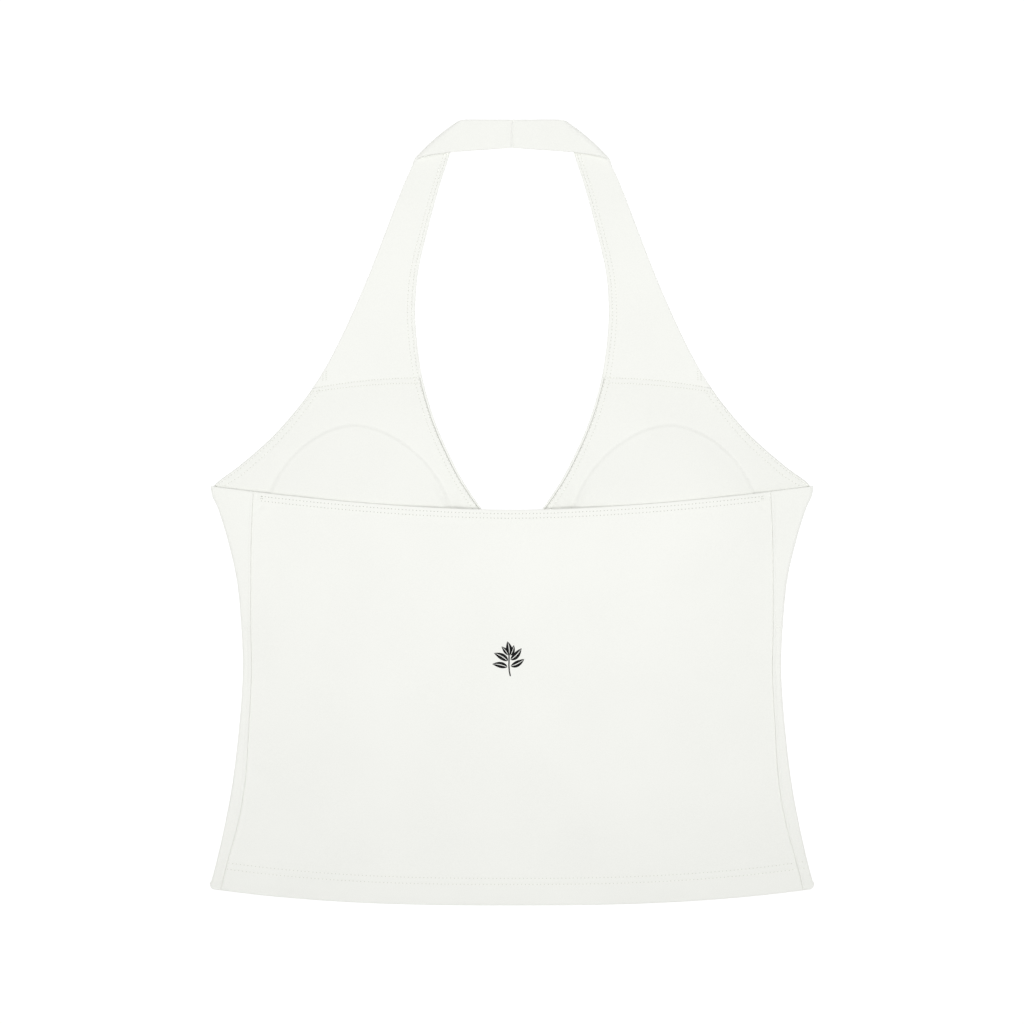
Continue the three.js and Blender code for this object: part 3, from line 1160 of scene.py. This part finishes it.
def sew_hem():
    sewing = Sewing("hem", STITCH["hem"])
    for distance in HEM_ROWS:
        row = body_row(HEM.side + distance)
        half = back_half(row) - 1
        sewing.run([back_top(row, lerp(-half, half, t)) for t in steps(PATH.hem)])
        top = 2 * row.radius + TURNING - GROOVE.depth
        start, end = row.seam + 1.2, row.fold - 0.6
        both_sides(sewing, [on_row(row, lerp(start, end, t), top) for t in steps(PATH.strip)])
    sewing.finish()


# The twin rows along the top of the back end in a short upright row near each side seam
TOP_END = 170.0


def sew_back_top():
    sewing = Sewing("back_top", STITCH["top"], DEEP_PAINTED_HOLE_SHADE)
    for distance in TOP_ROWS:
        row = body_row(TOP.side - distance)
        sewing.run([back_top(row, lerp(-TOP_END, TOP_END, t)) for t in steps(PATH.top)])
    closed = [body_row(TOP.side - lerp(*TOP_ROWS, t)) for t in steps(PATH.closed)]
    sewing.pitch = STITCH["top_end"]
    for x in (-TOP_END - 0.3, -TOP_END + 0.7, TOP_END + 0.3, TOP_END - 0.7):
        sewing.run([back_top(row, x) for row in closed])
    sewing.finish()


def share_at(place, neck, arm):
    """The share of the way across a row at a distance from its neck edge or its arm edge."""
    width = place.outer - place.inner
    if neck is None:
        return 1 - arm * place.arm_stretch / width
    return neck * place.neck_stretch / width


def strap_path(distance, lift=None):
    """A path up the strap at a distance from its neck edge, on its face or at a height."""
    path = []
    for t in steps(PATH.strap)[1:-1]:
        neck, arm, bend, stretch = strap_sides(t)
        foot = strap_foot(neck, arm, distance * stretch / math.dist(neck, arm), bend)
        top = STRAP_WALL - GROOVE.depth + strap_wave(*foot) if lift is None else lift
        path.append((*foot, top))
    return path


# Rows of the body beside the neckline, and rows of the bust up to the strap joint
NECK_LOW = [row for row in BODY if smooth(NECKLINE, row.middle) > 4]
BUST = [bust_row(t) for t in steps(PATH.bust)]


def lining_point(row, place, across):
    return lining_top(row, place, across)[0]


def under_point(row, place, across):
    return *sheet_point(row, place.inner, place.outer, across), UNDER.thread


def sew_edges(names, frame_of, point, distances, margin, lift=None, face=1):
    """The rows along the neckline, the armholes and the strap joints on one face."""
    on_neck, on_arm, on_joint = distances

    def path(rows, neck=None, arm=None):
        frames = [(row, frame_of(row)) for row in rows]
        return [point(row, place, share_at(place, neck, arm)) for row, place in frames]

    def joint(distance):
        row = bust_row(1 - distance / bust_run())
        shares = [lerp(margin, 1 - margin, t) for t in steps(PATH.joint)]
        return [point(row, frame_of(row), share) for share in shares]

    paths = (
        [path(NECK_LOW + BUST, d) + strap_path(up, lift) for d, up in zip(on_neck, NECK_ROWS)],
        [path(BUST, arm=d) for d in on_arm],
        [joint(d) for d in on_joint],
    )
    for name, kind, lines in zip(names, ("neck", "arm", "joint"), paths):
        sew_pairs(name, kind, lines, face)


def sew_upper_edges():
    names = ("neckline", "armhole", "strap_joint")
    sew_edges(names, lining_frame, lining_point, (LINING_NECK, LINING_ARM, JOINT_ROWS), 0.03)


def sew_underside():
    """The same rows of stitches as they come out on the face that lies on the surface."""
    hem = Sewing("under_hem", STITCH["hem"], face=-1)
    for distance in HEM_ROWS:
        row = body_row(HEM.side + distance)
        half = row.fold - row.radius - 6
        hem.run([on_row(row, lerp(-half, half, t), UNDER.thread) for t in steps(PATH.hem)])
    hem.finish()
    names = ("under_neck", "under_arm", "under_joint")
    distances = (NECK_ROWS, ARM_ROWS, UNDER.joint)
    sew_edges(names, front_frame, under_point, distances, 0.05, UNDER.thread, -1)


# Short tacks: the ends of the armhole rows and the band's corners. At the band's corners their
# dark needle-hole discs paint the shade of the gap between the strap and the band
TACKS = [
    ((126.3, 357.2), (126.3, 364.0)),
    ((128.6, 357.0), (128.2, 362.4)),
    ((42.7, 509.2), (43.0, 511.0)),
]


def sew_tacks():
    paths = [[(x, height, STRAP_WALL) for x, height in ends] for ends in TACKS]
    sew_pairs("tack", "tack", paths)


sew_hem()
sew_back_top()
sew_upper_edges()
sew_tacks()
sew_underside()


# A small printed sprig low on the back: leaves by their foot, direction, length and width

SPRIG = Sizes(middle=(-2.0, 167.0), thickness=0.05, sunk=-0.1, stem=0.9)
LEAF = Sizes(foot=0.9, curl=14, tip=0.8, belly=0.85, least=0.05, vein=0.12, rows=16)
LEAVES = [
    ((0.0, 3.0), 90, 8.6, 4.2),
    ((-0.2, -1.5), 142, 10.8, 4.4),
    ((0.2, -0.5), 38, 10.8, 4.4),
    ((-0.4, -5.5), 160, 10.4, 4.2),
    ((0.3, -4.6), 20, 10.4, 4.2),
    ((-0.3, 2.2), 118, 7.4, 3.1),
    ((0.3, 2.2), 62, 7.4, 3.1),
]
STEM = [(0.9, -11.2), (0.2, -8.0), (-0.1, -4.0), (0.0, 0.0), (0.0, 4.0)]


def on_print(x, y, lift):
    """A point of the print on the back: the row through it is found in a few rounds."""
    height = SPRIG.middle[1] + y
    x += SPRIG.middle[0]
    side = height + TOP.sag
    for _ in range(6):
        side += height - row_height(body_row(side), x)
    return x, height, back_top(body_row(side), x)[2] + lift


def print_corner(x, y):
    return on_print(x, y, SPRIG.thickness), on_print(x, y, SPRIG.sunk)


def leaf_cells(foot, angle, length, width):
    """Two halves of a leaf with a bare vein between them."""
    rows = []
    for t in steps(LEAF.rows):
        swell = max(math.sin(math.pi * t ** LEAF.tip), 0) ** LEAF.belly
        half = max(width / 2 * swell, LEAF.least)
        turn = math.radians(angle + LEAF.curl * (t - 0.5))
        along = LEAF.foot + length * t
        row = []
        for side in (-1, -LEAF.vein, LEAF.vein, 1):
            across = half * side
            row.append(print_corner(
                foot[0] + along * math.cos(turn) - across * math.sin(turn),
                foot[1] + along * math.sin(turn) + across * math.cos(turn),
            ))
        rows.append(row)
    return grid([row[:2] for row in rows]) + grid([row[2:] for row in rows])


def make_sprig():
    half = SPRIG.stem / 2
    cells = grid([[print_corner(x - half, y), print_corner(x + half, y)] for x, y in STEM])
    for leaf in LEAVES:
        cells += leaf_cells(*leaf)
    sprig = wall("printed_sprig", cells, PRINT)
    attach(sprig, "root")


make_sprig()


# Floor, light and camera

FLOOR = Sizes(half=15.0, level=-0.0003)


def make_floor():
    half = FLOOR.half
    square = ((-half, -half), (half, -half), (half, half), (-half, half))
    mesh = bpy.data.meshes.new("floor")
    mesh.from_pydata([(x, y, FLOOR.level) for x, y in square], [], [(0, 1, 2, 3)])
    white = grained_material("white_floor", 40, (0.345,) * 3, (0.355,) * 3, FLOOR_SHADER)
    mesh.materials.append(white)
    floor = bpy.data.objects.new("floor", mesh)
    bpy.context.scene.collection.objects.link(floor)


def hang(light, power, place, target):
    """Hangs a lamp at a place and turns it towards a target."""
    light.energy = power
    lamp = bpy.data.objects.new(light.name, light)
    bpy.context.scene.collection.objects.link(lamp)
    lamp.location = place
    direction = Vector(target) - Vector(place)
    lamp.rotation_euler = direction.to_track_quat("-Z", "Y").to_euler()


# Square lamps: name, size, power and place
AREA_LIGHTS = [
    ("overhead", 0.8, 36, (-0.3, -0.9, 3.4)),
    ("raking_left", 1.0, 13, (-2.5, 0.8, 2.4)),
    ("raking_right", 1.0, 17, (2.5, 0.8, 2.4)),
]

# A round soft pool of light, strongest on its axis
POOL = Sizes(angle=20, softness=0.25, power=91, place=(0, 0.11, 3.3), target=(0, 0.11, 0))
WORLD_STRENGTH = 0.442


def add_lights():
    for name, size, power, place in AREA_LIGHTS:
        light = bpy.data.lights.new(name, "AREA")
        light.shape = "SQUARE"
        light.size = size
        hang(light, power, place, (0, 0, 0))
    spot = bpy.data.lights.new("centre", "SPOT")
    spot.spot_size = math.radians(POOL.angle)
    spot.spot_blend = 1
    spot.shadow_soft_size = POOL.softness
    hang(spot, POOL.power, POOL.place, POOL.target)
    world = bpy.data.worlds.new("studio")
    bpy.context.scene.world = world
    world.use_nodes = True
    background = world.node_tree.nodes["Background"]
    background.inputs["Color"].default_value = (1, 1, 1, 1)
    background.inputs["Strength"].default_value = WORLD_STRENGTH
    bpy.context.scene.view_settings.view_transform = "Standard"


# The photo spans 1024 pixels of 0.68 mm at the cloth, seen from straight above
CAMERA_HEIGHT = 3.0
PIXEL = 0.68 * MM
SENSOR = 36


def add_camera():
    data = bpy.data.cameras.new("camera")
    data.sensor_width = SENSOR
    data.lens = SENSOR * CAMERA_HEIGHT / (1024 * PIXEL)
    camera = bpy.data.objects.new("camera", data)
    camera.location = (0, PIXEL / 2, CAMERA_HEIGHT)
    bpy.context.scene.collection.objects.link(camera)
    bpy.context.scene.camera = camera


make_floor()
add_lights()
add_camera()
